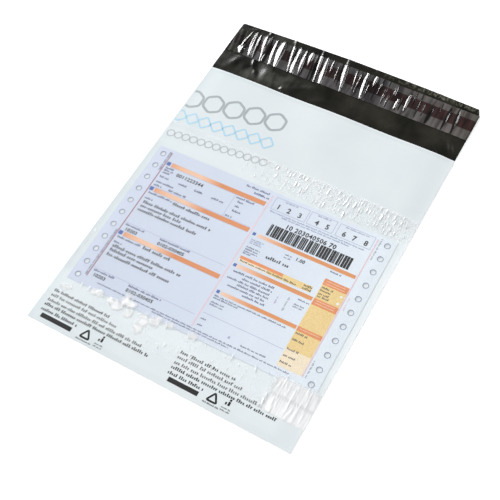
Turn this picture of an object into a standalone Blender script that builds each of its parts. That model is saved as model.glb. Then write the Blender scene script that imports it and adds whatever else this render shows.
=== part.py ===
# Poly mailer bag: one folded and side-welded film bag with a peel-and-seal flap,
# and on its front a clear document pouch that holds a tractor-feed consignment note.
# Metres, +Z up. The empty bag lies flat on its back panel. +Y runs from the bottom
# fold to the flap, and the origin is under the middle of the whole bag.

import bpy
import bmesh
from math import cos, pi, radians, sin
from mathutils import Matrix

# Every pair of pieces that lies together keeps this space, so that the faceted sheets stay apart.
CLEARANCE = 0.0003

# Consignment note: a form for a tractor feed, holed along both sides, of several thin plies.
NOTE_WIDTH = 0.2159
NOTE_THICKNESS = 0.0003
NOTE_SKEW = radians(0.94)
NOTE_SHIFT_X = 0.0007
NOTE_SHIFT_Y = -0.0005
FEED_HOLE_PITCH = 0.0127
FEED_HOLES_A_SIDE = 11
FEED_HOLE_DIAMETER = 0.004
FEED_HOLE_INSET = 0.00635
FEED_HOLE_SIDES = 16

# Document pouch: clear film over the front panel, wrinkled along both of its ends.
POUCH_FILM = 0.00005
POUCH_END_SPACE = 0.0109
POUCH_BAND = 0.014
POUCH_WRINKLE = 0.0011
POUCH_WRINKLE_PITCH = 0.0105
POUCH_COLUMNS = 42
POUCH_ROWS = 8

# Bag film, folded at the bottom and welded along both sides.
FILM = 0.00006
NOTE_SIDE_MARGIN = 0.00635
BOTTOM_MARGIN = 0.0187
HEAD_PANEL = 0.0656
SIDE_WELD = 0.0015
WELD_HEIGHT = 0.0004
POCKET_HEIGHT = 0.0014
POCKET_SHOULDER = 0.003
HEAD_WAVE = 0.0009
BAG_COLUMNS = 14
BODY_ROWS = 9
HEAD_ROWS = 8

# Flap: the back panel's film, which runs on past the mouth and shows its inner face.
FLAP_LENGTH = 0.0564
FLAP_CURL = 0.0035
FLAP_CORNER = 0.003
FLAP_ROWS = 8

# Adhesive strip on the flap, and the release liner over it, drawn up into puckers.
LINER_WIDTH = 0.027
LINER_MARGIN = 0.0066
LINER_FILM = 0.00005
ADHESIVE_WIDTH = 0.0115
ADHESIVE_THICKNESS = 0.00015
ADHESIVE_INSET = 0.0095
PUCKER_PITCH = 0.0098
PUCKER_FOOT = 0.0055
PUCKER_HEIGHT = 0.0022
PUCKER_LEAN = 0.24

# Sizes and places that follow from those above.
NOTE_LENGTH = FEED_HOLE_PITCH * FEED_HOLES_A_SIDE
POUCH_LENGTH = NOTE_LENGTH + 2 * (POUCH_END_SPACE + POUCH_BAND)
BAG_WIDTH = NOTE_WIDTH + 2 * NOTE_SIDE_MARGIN
BODY_LENGTH = BOTTOM_MARGIN + POUCH_LENGTH + HEAD_PANEL
OVERALL_LENGTH = BODY_LENGTH + FLAP_LENGTH
SIDE = BAG_WIDTH / 2
BOTTOM_Y = -OVERALL_LENGTH / 2
MOUTH_Y = BOTTOM_Y + BODY_LENGTH
FLAP_Y = OVERALL_LENGTH / 2
POUCH_BOTTOM_Y = BOTTOM_Y + BOTTOM_MARGIN
POUCH_TOP_Y = POUCH_BOTTOM_Y + POUCH_LENGTH
POUCH_MIDDLE_Y = (POUCH_BOTTOM_Y + POUCH_TOP_Y) / 2
LINER_TOP_Y = FLAP_Y - LINER_MARGIN
LINER_BOTTOM_Y = LINER_TOP_Y - LINER_WIDTH
ADHESIVE_TOP_Y = LINER_TOP_Y - ADHESIVE_INSET
ADHESIVE_BOTTOM_Y = ADHESIVE_TOP_Y - ADHESIVE_WIDTH


def ease(t):
    """A soft step from 0 to 1, level at both ends."""
    t = min(1.0, max(0.0, t))
    return t * t * (3 - 2 * t)


def stations(low, high, count):
    """Evenly spaced places from low to high, both ends left out."""
    return [low + (high - low) * i / count for i in range(1, count)]


def side_stations(count):
    """Places across the bag: close together down each shoulder, even between them."""
    inner = SIDE - SIDE_WELD - POCKET_SHOULDER
    shoulder = [SIDE - SIDE_WELD - POCKET_SHOULDER * k / 3 for k in range(4)]
    return [-x for x in shoulder] + stations(-inner, inner, count) + shoulder


def front_height(x, y):
    """Top of the front panel: a low pillow, with broad waves between the pouch and the mouth."""
    from_side = (SIDE - SIDE_WELD - abs(x)) / POCKET_SHOULDER
    from_fold = (y - BOTTOM_Y - SIDE_WELD) / POCKET_SHOULDER
    pillow = (POCKET_HEIGHT - WELD_HEIGHT) * ease(from_side) * ease(from_fold)
    up_the_head = ease((y - POUCH_TOP_Y) / HEAD_PANEL)
    across = cos(pi * x / BAG_WIDTH) * (0.5 + 0.5 * sin(5 * pi * x / BAG_WIDTH + 0.7))
    return WELD_HEIGHT + pillow + HEAD_WAVE * up_the_head * across


def flap_height(x, y):
    """Underside of the back panel and flap: flat as far as the mouth, then a slight curl."""
    out = max(0.0, (y - MOUTH_Y) / FLAP_LENGTH)
    return FLAP_CURL * out * out * cos(pi * x / BAG_WIDTH)


def pouch_height(x, y):
    """Underside of the pouch film: down at the welds, over the note, and up in the wrinkles."""
    note_reach = (NOTE_WIDTH * cos(NOTE_SKEW) + NOTE_LENGTH * sin(NOTE_SKEW)) / 2
    note_end = (NOTE_LENGTH * cos(NOTE_SKEW) + NOTE_WIDTH * sin(NOTE_SKEW)) / 2
    side_run = SIDE - SIDE_WELD - note_reach - abs(NOTE_SHIFT_X)
    end_run = NOTE_LENGTH / 2 + POUCH_END_SPACE - note_end - abs(NOTE_SHIFT_Y)
    past_weld = NOTE_LENGTH / 2 + POUCH_END_SPACE - abs(y - POUCH_MIDDLE_Y)
    over_note = ease((SIDE - SIDE_WELD - abs(x)) / side_run) * ease(past_weld / end_run)
    lift = (NOTE_THICKNESS + CLEARANCE) * over_note
    in_band = ease(-past_weld * 3 / POUCH_BAND)
    beside_note = 0.6 * ease(past_weld * 3 / POUCH_BAND) * ease(2 - past_weld * 2 / POUCH_END_SPACE)
    turn = 2 * pi * x / POUCH_WRINKLE_PITCH
    folds = 0.5 + 0.5 * sin(turn + 1.7 * sin(0.31 * turn) + 60 * y)
    fade = ease((SIDE - SIDE_WELD - abs(x)) / POUCH_WRINKLE_PITCH)
    wrinkle = POUCH_WRINKLE * folds * folds * fade * (in_band + beside_note)
    return front_height(x, y) + CLEARANCE + lift + wrinkle


def sheet(low, high, across, along):
    """A flat open sheet from corner low to corner high, cut at the stations given."""
    bm = bmesh.new()
    middle = Matrix.Translation(((low[0] + high[0]) / 2, (low[1] + high[1]) / 2, 0))
    size = Matrix.Diagonal((high[0] - low[0], high[1] - low[1], 1, 1))
    bmesh.ops.create_grid(bm, x_segments=1, y_segments=1, size=0.5, matrix=middle @ size)
    cut(bm, across, along)
    return bm


def cut(bm, across, along):
    """Cuts every face along the planes X = each of across and Y = each of along."""
    planes = [((x, 0, 0), (1, 0, 0)) for x in across] + [((0, y, 0), (0, 1, 0)) for y in along]
    for point, normal in planes:
        everything = bm.verts[:] + bm.edges[:] + bm.faces[:]
        bmesh.ops.bisect_plane(bm, geom=everything, dist=1e-7, plane_co=point, plane_no=normal)


def finish(name, bm, materials, thickness, offset):
    """Makes the object from its open sheet, and gives the film its thickness."""
    mesh = bpy.data.meshes.new(name)
    bm.to_mesh(mesh)
    bm.free()
    piece = bpy.data.objects.new(name, mesh)
    bpy.data.collections["poly_mailer_bag"].objects.link(piece)
    for material in materials:
        mesh.materials.append(material)
    skin = piece.modifiers.new("film", "SOLIDIFY")
    skin.thickness = thickness
    skin.offset = offset
    skin.use_even_offset = True
    skin.material_offset = len(materials) - 1
    mesh.shade_smooth()
    mesh.set_sharp_from_angle(angle=radians(50))
    return piece


def plastic(name, colour, roughness, alpha=1.0):
    """A Principled BSDF material with the piece's colour and gloss."""
    material = bpy.data.materials.new(name)
    material.use_nodes = True
    shader = material.node_tree.nodes["Principled BSDF"]
    shader.inputs["Base Color"].default_value = (*colour, 1)
    shader.inputs["Roughness"].default_value = roughness
    shader.inputs["Metallic"].default_value = 0
    shader.inputs["Alpha"].default_value = alpha
    return material


def bag_body():
    """The folded film: a flat sleeve, open at the mouth, whose back panel runs on as the flap."""
    bm = bmesh.new()
    middle = Matrix.Translation((0, (BOTTOM_Y + MOUTH_Y) / 2, WELD_HEIGHT / 2))
    size = Matrix.Diagonal((BAG_WIDTH, BODY_LENGTH, WELD_HEIGHT, 1))
    bmesh.ops.create_cube(bm, size=1, matrix=middle @ size)
    mouth = [face for face in bm.faces if face.normal.y > 0.5]
    bmesh.ops.delete(bm, geom=mouth, context="FACES_ONLY")

    lip = [edge for edge in bm.edges
           if all(abs(v.co.y - MOUTH_Y) < 1e-6 and v.co.z < WELD_HEIGHT / 2 for v in edge.verts)]
    flap = bmesh.ops.extrude_edge_only(bm, edges=lip)["geom"]
    corners = [v for v in flap if isinstance(v, bmesh.types.BMVert)]
    for vert in corners:
        vert.co.y = FLAP_Y
    bmesh.ops.bevel(bm, geom=corners, offset=FLAP_CORNER, segments=4, profile=0.5, affect="VERTICES")

    shoulder = [BOTTOM_Y + SIDE_WELD + POCKET_SHOULDER * k / 3 for k in range(4)]
    body = stations(shoulder[-1], POUCH_TOP_Y, BODY_ROWS)
    head = [POUCH_TOP_Y] + stations(POUCH_TOP_Y, MOUTH_Y, HEAD_ROWS)
    out = stations(MOUTH_Y, FLAP_Y - FLAP_CORNER, FLAP_ROWS)
    cut(bm, side_stations(BAG_COLUMNS), shoulder + body + head + out)

    for vert in bm.verts:
        on_front = vert.co.z > WELD_HEIGHT / 2
        height = front_height if on_front else flap_height
        vert.co.z = height(vert.co.x, vert.co.y)
    bmesh.ops.recalc_face_normals(bm, faces=bm.faces)
    outer = plastic("film_white_outside", (0.80, 0.84, 0.85), 0.32)
    inner = plastic("film_black_inside", (0.02, 0.018, 0.018), 0.3)
    return finish("bag_body", bm, [outer, inner], FILM, -1)


def adhesive_strip():
    """The hot-melt strip that lies along the flap, under the liner."""
    bm = sheet((-SIDE, ADHESIVE_BOTTOM_Y), (SIDE, ADHESIVE_TOP_Y), side_stations(BAG_COLUMNS), [])
    for vert in bm.verts:
        vert.co.z = flap_height(vert.co.x, vert.co.y) + FILM + CLEARANCE
    glue = plastic("hot_melt", (0.10, 0.055, 0.05), 0.45)
    return finish("adhesive_strip", bm, [glue], ADHESIVE_THICKNESS, 1)


def puckers():
    """Each pucker's place, foot and height: sharp and crowded on the left, low on the right."""
    found = []
    count = int((BAG_WIDTH - 2 * PUCKER_PITCH) / PUCKER_PITCH) + 1
    first = -PUCKER_PITCH * (count - 1) / 2
    for i in range(count):
        along = i / max(1, count - 1)
        place = first + PUCKER_PITCH * (i + 0.22 * sin(2.4 * i))
        height = PUCKER_HEIGHT * (1 - 0.62 * ease(2 * along - 0.6)) * (0.72 + 0.28 * sin(1.9 * i + 1))
        found.append((place, PUCKER_FOOT * (0.8 + 0.2 * sin(3.1 * i)), height))
    return found


def release_liner():
    """The silicone-coated strip over the adhesive, pinched up into leaning puckers."""
    folds = puckers()
    across = []
    for place, foot, height in folds:
        across += [place - foot / 2, place, place + foot / 2]
    middle_y = (LINER_BOTTOM_Y + LINER_TOP_Y) / 2
    along = [ADHESIVE_BOTTOM_Y, ADHESIVE_TOP_Y]
    bm = sheet((-SIDE, LINER_BOTTOM_Y), (SIDE, LINER_TOP_Y), across, along)
    seat = FILM + CLEARANCE + ADHESIVE_THICKNESS + CLEARANCE
    for vert in bm.verts:
        rise = 0
        for place, foot, height in folds:
            rise = max(rise, height * (1 - 2 * abs(vert.co.x - place) / foot))
        lean = ease((SIDE - abs(vert.co.x)) / PUCKER_PITCH)
        vert.co.x -= PUCKER_LEAN * lean * (vert.co.y - middle_y)
        vert.co.z = flap_height(vert.co.x, vert.co.y) + seat + rise
    film = plastic("liner_film", (0.32, 0.30, 0.31), 0.2, 0.6)
    return finish("release_liner", bm, [film], LINER_FILM, 1)


def document_pouch():
    """The clear film over the note, welded at the sides and foot and open along its top edge."""
    run = NOTE_LENGTH / 2 + POUCH_END_SPACE
    along = []
    for end in (-1, 1):
        weld = POUCH_MIDDLE_Y + end * run
        along += [weld + end * POUCH_BAND * k / 6 for k in (0, 2, 4)]
        along += [weld - end * POUCH_END_SPACE * k / 4 for k in (1, 2, 3, 4)]
    inner = run - POUCH_END_SPACE
    along += stations(POUCH_MIDDLE_Y - inner, POUCH_MIDDLE_Y + inner, POUCH_ROWS)
    across = side_stations(POUCH_COLUMNS)
    bm = sheet((-SIDE, POUCH_BOTTOM_Y), (SIDE, POUCH_TOP_Y), across, sorted(along))
    for vert in bm.verts:
        vert.co.z = pouch_height(vert.co.x, vert.co.y)
    film = plastic("clear_film", (0.92, 0.93, 0.95), 0.12, 0.35)
    return finish("document_pouch", bm, [film], POUCH_FILM, 1)


def outline(curve, points):
    """Adds a closed straight-sided outline to a flat curve."""
    spline = curve.splines.new("POLY")
    spline.points.add(len(points) - 1)
    for point, (x, y) in zip(spline.points, points):
        point.co = (x, y, 0, 1)
    spline.use_cyclic_u = True


def consignment_note():
    """The note: one rectangle with a column of feed holes down each side."""
    curve = bpy.data.curves.new("consignment_note", "CURVE")
    curve.dimensions = "2D"
    curve.fill_mode = "BOTH"
    curve.extrude = NOTE_THICKNESS / 2
    half_width = NOTE_WIDTH / 2
    half_length = NOTE_LENGTH / 2
    outline(curve, [(-half_width, -half_length), (half_width, -half_length),
                    (half_width, half_length), (-half_width, half_length)])
    for side in (-1, 1):
        for i in range(FEED_HOLES_A_SIDE):
            x = side * (half_width - FEED_HOLE_INSET)
            y = (i - (FEED_HOLES_A_SIDE - 1) / 2) * FEED_HOLE_PITCH
            turns = [2 * pi * k / FEED_HOLE_SIDES for k in range(FEED_HOLE_SIDES)]
            radius = FEED_HOLE_DIAMETER / 2
            outline(curve, [(x + radius * cos(a), y + radius * sin(a)) for a in turns])
    curve.materials.append(plastic("note_paper", (0.86, 0.86, 0.95), 0.8))
    note = bpy.data.objects.new("consignment_note", curve)
    bpy.data.collections["poly_mailer_bag"].objects.link(note)
    seat = POCKET_HEIGHT + CLEARANCE + NOTE_THICKNESS / 2
    note.location = (NOTE_SHIFT_X, POUCH_MIDDLE_Y + NOTE_SHIFT_Y, seat)
    note.rotation_euler = (0, 0, NOTE_SKEW)
    return note


def main():
    for old in list(bpy.data.objects):
        bpy.data.objects.remove(old, do_unlink=True)
    collection = bpy.data.collections.new("poly_mailer_bag")
    bpy.context.scene.collection.children.link(collection)
    bag_body()
    adhesive_strip()
    release_liner()
    consignment_note()
    document_pouch()


main()
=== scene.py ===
from math import ceil, cos, pi, radians, sin, tan

import bpy
import numpy as np
from mathutils import Euler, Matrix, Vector


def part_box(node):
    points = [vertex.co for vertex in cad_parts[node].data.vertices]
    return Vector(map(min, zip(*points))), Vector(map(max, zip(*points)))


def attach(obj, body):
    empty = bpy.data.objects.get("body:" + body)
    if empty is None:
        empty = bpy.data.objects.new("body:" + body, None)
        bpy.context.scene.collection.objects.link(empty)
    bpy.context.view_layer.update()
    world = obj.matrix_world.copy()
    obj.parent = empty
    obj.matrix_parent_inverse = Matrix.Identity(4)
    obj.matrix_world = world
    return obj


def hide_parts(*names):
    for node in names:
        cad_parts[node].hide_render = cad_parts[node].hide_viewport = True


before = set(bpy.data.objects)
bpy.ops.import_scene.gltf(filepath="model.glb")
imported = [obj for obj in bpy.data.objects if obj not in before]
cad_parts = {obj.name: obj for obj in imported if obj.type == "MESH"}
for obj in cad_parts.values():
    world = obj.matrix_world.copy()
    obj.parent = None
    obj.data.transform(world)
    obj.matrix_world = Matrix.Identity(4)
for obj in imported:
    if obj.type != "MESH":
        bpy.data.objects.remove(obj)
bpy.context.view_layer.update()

scene = bpy.context.scene

mm = 0.001  # sizes below are in millimetres, and become metres when a mesh is written

bagLow, bagHigh = (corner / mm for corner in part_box("bag_body"))
pouchLow, pouchHigh = (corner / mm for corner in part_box("document_pouch"))
noteLow, noteHigh = (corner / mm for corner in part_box("consignment_note"))
linerLow, linerHigh = (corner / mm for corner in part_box("release_liner"))
glueLow, glueHigh = (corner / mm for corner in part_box("adhesive_strip"))

side = bagHigh.x
noteMiddle = (noteLow + noteHigh) / 2


# Small helpers

def ease(t):
    t = np.clip(t, 0.0, 1.0)
    return t * t * (3 - 2 * t)


def spread(low, high, step):  # evenly spaced places, both ends kept
    return np.linspace(low, high, max(2, int(round(abs(high - low) / step)) + 1))


def ripple(x, y, length, seed):  # a smooth irregular surface between about -1 and 1
    turns = np.random.default_rng(seed).uniform(0, 2 * pi, (7, 2))
    total = 0
    for k, (heading, phase) in enumerate(turns):
        reach = length * (0.7 + 0.12 * k)
        total = total + np.sin(2 * pi * (x * cos(heading) + y * sin(heading)) / reach + phase)
    return total / 4.5


def ridge(x, y, place, heading, halfLength, halfWidth, height):  # one soft raised fold
    turn = radians(heading)
    along = (x - place[0]) * cos(turn) + (y - place[1]) * sin(turn)
    across = (y - place[1]) * cos(turn) - (x - place[0]) * sin(turn)
    return height * np.exp(-(along / halfLength) ** 2 - (across / halfWidth) ** 2)


def ring(x, y, size, corners, turn=0):  # the corners of a regular outline
    angles = [radians(turn + 360 * k / corners) for k in range(corners)]
    return [(x + size * cos(angle), y + size * sin(angle)) for angle in angles]


def gridMesh(name, x, y, z):  # rows and columns of points, with a UV from 0 to 1 both ways
    rows, columns = x.shape
    points = np.stack([x, y, z], axis=-1).reshape(-1, 3) * mm
    first = (np.arange(rows - 1)[:, None] * columns + np.arange(columns - 1)[None, :]).ravel()
    faces = np.stack([first, first + columns, first + columns + 1, first + 1], axis=1)
    mesh = bpy.data.meshes.new(name)
    mesh.from_pydata(points.tolist(), [], faces.tolist())
    corners = faces.ravel()
    uv = np.stack([corners % columns / (columns - 1), corners // columns / (rows - 1)], axis=1)
    mesh.uv_layers.new(name="UVMap").data.foreach_set("uv", uv.ravel().astype(np.float32))
    return mesh


def markPaintedLight(mesh, share):  # the film's material reads this value: painted shade on the liner, painted glints on the pouch
    paintedLight = mesh.attributes.new("paintedLight", "FLOAT", "POINT")
    paintedLight.data.foreach_set("value", share.ravel().astype(np.float32))


def addPiece(mesh, slotName, materials, *replaced):
    piece = bpy.data.objects.new(mesh.name, mesh)
    scene.collection.objects.link(piece)
    for material in materials:
        mesh.materials.append(material)
    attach(piece, "root")
    if replaced:
        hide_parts(*replaced)
    return piece


def thicken(piece, thickness, offset, insideSlot=0):
    skin = piece.modifiers.new("film", "SOLIDIFY")
    skin.thickness = thickness * mm
    skin.offset = offset
    skin.material_offset = insideSlot
    keepModifiers(piece)


def keepModifiers(piece, sharp=60):  # turns the piece's modifiers into plain mesh
    bpy.context.view_layer.update()
    graph = bpy.context.evaluated_depsgraph_get()
    final = bpy.data.meshes.new_from_object(piece.evaluated_get(graph), depsgraph=graph)
    piece.modifiers.clear()
    old = piece.data
    piece.data = final
    bpy.data.meshes.remove(old)
    final.name = piece.name
    final.shade_smooth()
    final.set_sharp_from_angle(angle=radians(sharp))
    print(piece.name + ":", len(final.polygons), "faces")


# Materials

def setInputs(node, values):
    for name, value in values.items():
        node.inputs[name].default_value = value


def newFinish(name, colour, roughness, alpha=1.0, level=0.5):
    material = bpy.data.materials.new(name)
    material.use_nodes = True
    shader = material.node_tree.nodes["Principled BSDF"]
    setInputs(shader, {"Base Color": (*colour, 1), "Roughness": roughness, "Alpha": alpha,
                       "Specular IOR Level": level})
    return material, material.node_tree, shader


def noiseNode(tree, scale, detail=3.0, stretch=(1, 1, 1)):  # scale is in grains per metre
    place = tree.nodes.new("ShaderNodeTexCoord")
    mapping = tree.nodes.new("ShaderNodeMapping")
    mapping.inputs["Scale"].default_value = stretch
    noise = tree.nodes.new("ShaderNodeTexNoise")
    setInputs(noise, {"Scale": scale, "Detail": detail})
    tree.links.new(place.outputs["Object"], mapping.inputs["Vector"])
    tree.links.new(mapping.outputs["Vector"], noise.inputs["Vector"])
    return noise.outputs["Fac"]


def rampNode(tree, source, stops):  # stops are (place, colour), and a single number is a grey
    ramp = tree.nodes.new("ShaderNodeValToRGB")
    while len(ramp.color_ramp.elements) < len(stops):
        ramp.color_ramp.elements.new(0.5)
    for element, (place, colour) in zip(ramp.color_ramp.elements, stops):
        element.position = place
        element.color = (*colour, 1) if isinstance(colour, tuple) else (colour, colour, colour, 1)
    tree.links.new(source, ramp.inputs["Fac"])
    return ramp.outputs["Color"]


def varyColour(tree, shader, low, high, noise):
    tree.links.new(rampNode(tree, noise, [(0.3, low), (0.7, high)]), shader.inputs["Base Color"])


def mapRange(tree, source, fromLow, fromHigh, toLow=0.0, toHigh=1.0):
    reach = tree.nodes.new("ShaderNodeMapRange")
    setInputs(reach, {"From Min": fromLow, "From Max": fromHigh, "To Min": toLow, "To Max": toHigh})
    tree.links.new(source, reach.inputs["Value"])
    return reach.outputs["Result"]


def varyRoughness(tree, shader, low, high, noise):
    tree.links.new(mapRange(tree, noise, 0.3, 0.7, low, high), shader.inputs["Roughness"])


def addBump(tree, shader, noise, depth, strength=1.0):  # depth in millimetres
    bump = tree.nodes.new("ShaderNodeBump")
    setInputs(bump, {"Strength": strength, "Distance": depth * mm})
    tree.links.new(noise, bump.inputs["Height"])
    tree.links.new(bump.outputs["Normal"], shader.inputs["Normal"])


def mixColours(tree, first, second, kind="MULTIPLY", factor=1.0):
    shade = tree.nodes.new("ShaderNodeMix")
    shade.data_type = "RGBA"
    shade.blend_type = kind
    shade.inputs["Factor"].default_value = factor
    tree.links.new(first, shade.inputs["A"])
    tree.links.new(second, shade.inputs["B"])
    return shade.outputs["Result"]


def axisOf(tree, vector, axis):
    split = tree.nodes.new("ShaderNodeSeparateXYZ")
    tree.links.new(vector, split.inputs["Vector"])
    return split.outputs[axis]


def alongAxis(tree, axis, low, high):  # 0 to 1 between two places on the bag, in millimetres
    place = tree.nodes.new("ShaderNodeTexCoord")
    return mapRange(tree, axisOf(tree, place.outputs["Object"], axis), low * mm, high * mm)


def maskAlong(tree, axis, stops):  # stops are (millimetres, share from 0 to 1)
    low, high = stops[0][0], stops[-1][0]
    shares = [((place - low) / (high - low), share) for place, share in stops]
    return rampNode(tree, alongAxis(tree, axis, low, high), shares)


def acrossSheet(tree):  # 0 to 1 from a sheet's first row of points to its last
    place = tree.nodes.new("ShaderNodeUVMap")
    place.uv_map = "UVMap"
    return axisOf(tree, place.outputs["UV"], "Y")


def paintedLightValue(tree):
    paintedNode = tree.nodes.new("ShaderNodeAttribute")
    paintedNode.attribute_name = "paintedLight"
    return paintedNode.outputs["Fac"]


def whiteFilm():
    material, tree, shader = newFinish("whiteFilm", (0.74, 0.79, 0.81), 0.46, level=0.25)
    cloud = noiseNode(tree, 26, 2.0)
    base = rampNode(tree, cloud, [(0.3, (0.715, 0.770, 0.788)), (0.7, (0.755, 0.800, 0.815))])
    brightness = 1.0417
    alongBag = [  # painted light: the film is made lighter under the pouch's ends, with a painted highlight along its own cut edge
        (bagLow.y, 1.0), (-147, 1.0), (-145, 1.04), (-122, 1.04), (-114, 0.96), (14, 0.96), (22, 1.01),
        (43, 1.0), (45, 0.97), (mouthY - 1.0, 0.97), (mouthY - 0.5, 1.2), (mouthY, 1.2),
    ]
    lengthwiseLight = maskAlong(tree, "Y", [(y, brightness * share) for y, share in alongBag])
    backPanel = maskAlong(tree, "Z", [(0.06, brightness), (0.12, 0)])  # one shade all over
    shaded = mixColours(tree, base, mixColours(tree, lengthwiseLight, backPanel, "LIGHTEN"))
    leftPaintedShade = rampNode(tree, alongAxis(tree, "X", -side, side), [  # painted shade: the film grows darker towards its left end
        (0.0, (0.85, 0.868, 0.875)), (0.12, (0.895, 0.905, 0.91)), (0.45, 0.95), (1.0, 0.99),
    ])
    # painted light: the right margin beside the note is made lighter
    rightPaintedLight = mixColours(tree, maskAlong(tree, "X", [(98, 0), (108, 0.0875), (side, 0.125)]),
                             maskAlong(tree, "Y", [(-124, 0), (-100, 1), (10, 1), (34, 0)]))
    lit = mixColours(tree, mixColours(tree, shaded, leftPaintedShade), rightPaintedLight, "ADD")
    tree.links.new(lit, shader.inputs["Base Color"])
    dieLines = noiseNode(tree, 900, 3.0, (1, 0.04, 1))  # drawn out along the web, as blown film is
    varyRoughness(tree, shader, 0.40, 0.54, dieLines)
    addBump(tree, shader, dieLines, 0.01, 0.5)
    return material


def blackFilm():
    material, tree, shader = newFinish("blackFilm", (0.007, 0.007, 0.005), 0.24)
    haze = noiseNode(tree, 45, 4.0)
    plain = rampNode(tree, haze, [(0.3, (0.004, 0.004, 0.003)), (0.7, (0.016, 0.015, 0.010))])
    lighterPatches = [  # lighter patches: painted sheen on the left of the strip between mouth and liner, painted glints on the crinkles along the flap's edge, and a faint olive lift on the rest of that strip; grains per metre, lowest and highest noise, tint, and the shares along X and Y
        (70, 0.44, 0.62, (0.085, 0.085, 0.075), [(-96, 0), (-82, 1), (-53, 0.8), (-34, 0)],
         [(108, 0.2), (116, 1), (127, 1), (132, 0.1)]),
        (520, 0.45, 0.62, (0.11, 0.11, 0.08), [(15, 0), (40, 0.5), (76, 1), (110, 0.7), (114, 0)],
         [(160.4, 0), (161.2, 1), (163.8, 1), (165.1, 0)]),
        (40, 0.36, 0.66, (0.020, 0.018, 0.013), [(-30, 0), (15, 0.8), (80, 1), (102, 0.6), (114, 0)],
         [(108, 0.2), (118, 0.9), (130, 1), (134, 0.6)]),
    ]
    total = plain
    # each patch adds its lighter tint: the painted sheen and glints listed above
    for grains, low, high, tint, alongX, alongY in lighterPatches:
        noise = noiseNode(tree, grains, 3.0, (1, 0.6, 1))
        lifted = rampNode(tree, noise, [(low, 0), (high, tint)])
        place = mixColours(tree, maskAlong(tree, "X", alongX), maskAlong(tree, "Y", alongY))
        total = mixColours(tree, total, mixColours(tree, lifted, place), "ADD")
    tree.links.new(total, shader.inputs["Base Color"])
    varyRoughness(tree, shader, 0.17, 0.31, haze)
    crumple = noiseNode(tree, 210, 4.0, (1, 0.6, 1))
    addBump(tree, shader, crumple, 0.22, 0.55)
    return material


def hotMelt():
    material, tree, shader = newFinish("hotMelt", (0.060, 0.030, 0.028), 0.45)
    flow = noiseNode(tree, 140, 3.0, (1, 0.4, 1))
    varyColour(tree, shader, (0.045, 0.020, 0.018), (0.085, 0.045, 0.040), flow)
    varyRoughness(tree, shader, 0.30, 0.55, flow)
    addBump(tree, shader, flow, 0.08)
    return material


def linerFilm():
    material, tree, shader = newFinish("linerFilm", (0.12, 0.115, 0.12), 0.16, alpha=0.86, level=0.9)
    bands = rampNode(tree, acrossSheet(tree), [
        (0.00, (0.115, 0.110, 0.112)), (0.225, (0.105, 0.100, 0.102)),
        (0.245, (0.040, 0.020, 0.020)), (0.630, (0.036, 0.018, 0.018)),
        (0.655, (0.105, 0.099, 0.102)), (1.00, (0.118, 0.112, 0.116)),
    ])
    cloud = noiseNode(tree, 230, 4.0, (1, 0.12, 1))
    mottle = rampNode(tree, cloud, [(0.38, (0.26, 0.25, 0.25)), (0.60, 1)])
    # painted shade in the folds beside the puckers' crests
    dark = rampNode(tree, paintedLightValue(tree), [(0.0, 1), (1.0, (0.06, 0.06, 0.05))])
    ends = rampNode(tree, alongAxis(tree, "X", -side, side), [  # darker and olive towards the left end, lighter towards the right
        (0.0, (0.26, 0.27, 0.20)), (0.055, (0.36, 0.36, 0.28)), (0.09, 1), (0.62, (0.95, 0.93, 0.92)),
        (0.84, (1.45, 1.38, 1.30)), (0.95, (1.45, 1.36, 1.24)), (1.0, (1.05, 1.02, 0.86)),
    ])
    shaded = mixColours(tree, bands, mottle, factor=0.85)
    endToned = mixColours(tree, shaded, ends)
    tree.links.new(mixColours(tree, endToned, dark), shader.inputs["Base Color"])
    varyRoughness(tree, shader, 0.10, 0.22, cloud)
    crackle = noiseNode(tree, 420, 3.0, (1, 0.3, 1))
    addBump(tree, shader, crackle, 0.05, 0.4)
    return material


def clearFilm():
    material, tree, shader = newFinish("clearFilm", (0.99, 0.995, 1.0), 0.16, alpha=0.05, level=1.0)
    hazy, clear = 0.09, 0.02  # opacity of the crumpled ends, and over the note
    glintOpacity = 0.92            # what a full share of painted glint adds to it
    body = rampNode(tree, acrossSheet(tree), [
        (0.0, hazy), (0.05, hazy), (0.13, clear), (0.86, clear), (0.92, hazy), (1.0, hazy),
    ])
    opacity = tree.nodes.new("ShaderNodeMath")
    opacity.operation = "MULTIPLY_ADD"
    opacity.inputs[1].default_value = glintOpacity
    tree.links.new(paintedLightValue(tree), opacity.inputs[0])
    tree.links.new(body, opacity.inputs[2])
    tree.links.new(opacity.outputs["Value"], shader.inputs["Alpha"])
    haze = noiseNode(tree, 90, 3.0)
    varyRoughness(tree, shader, 0.09, 0.21, haze)
    crackle = noiseNode(tree, 300, 3.0, (1, 0.5, 1))
    addBump(tree, shader, crackle, 0.05, 0.4)
    return material


def notePaper():
    material, tree, shader = newFinish("notePaper", (0.70, 0.75, 0.86), 0.62)
    # the paper's lavender-blue, with painted light: darker towards the left end and lighter towards the right
    tint = rampNode(tree, alongAxis(tree, "X", -side, side), [
        (0.0, (0.565, 0.618, 0.735)), (0.45, (0.630, 0.690, 0.805)), (1.0, (0.800, 0.870, 0.925)),
    ])
    fibres = noiseNode(tree, 700, 5.0)
    mottle = rampNode(tree, fibres, [(0.3, 0.95), (0.7, 1)])
    tree.links.new(mixColours(tree, tint, mottle), shader.inputs["Base Color"])
    varyRoughness(tree, shader, 0.55, 0.72, fibres)
    addBump(tree, shader, fibres, 0.02, 0.5)
    return material


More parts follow.
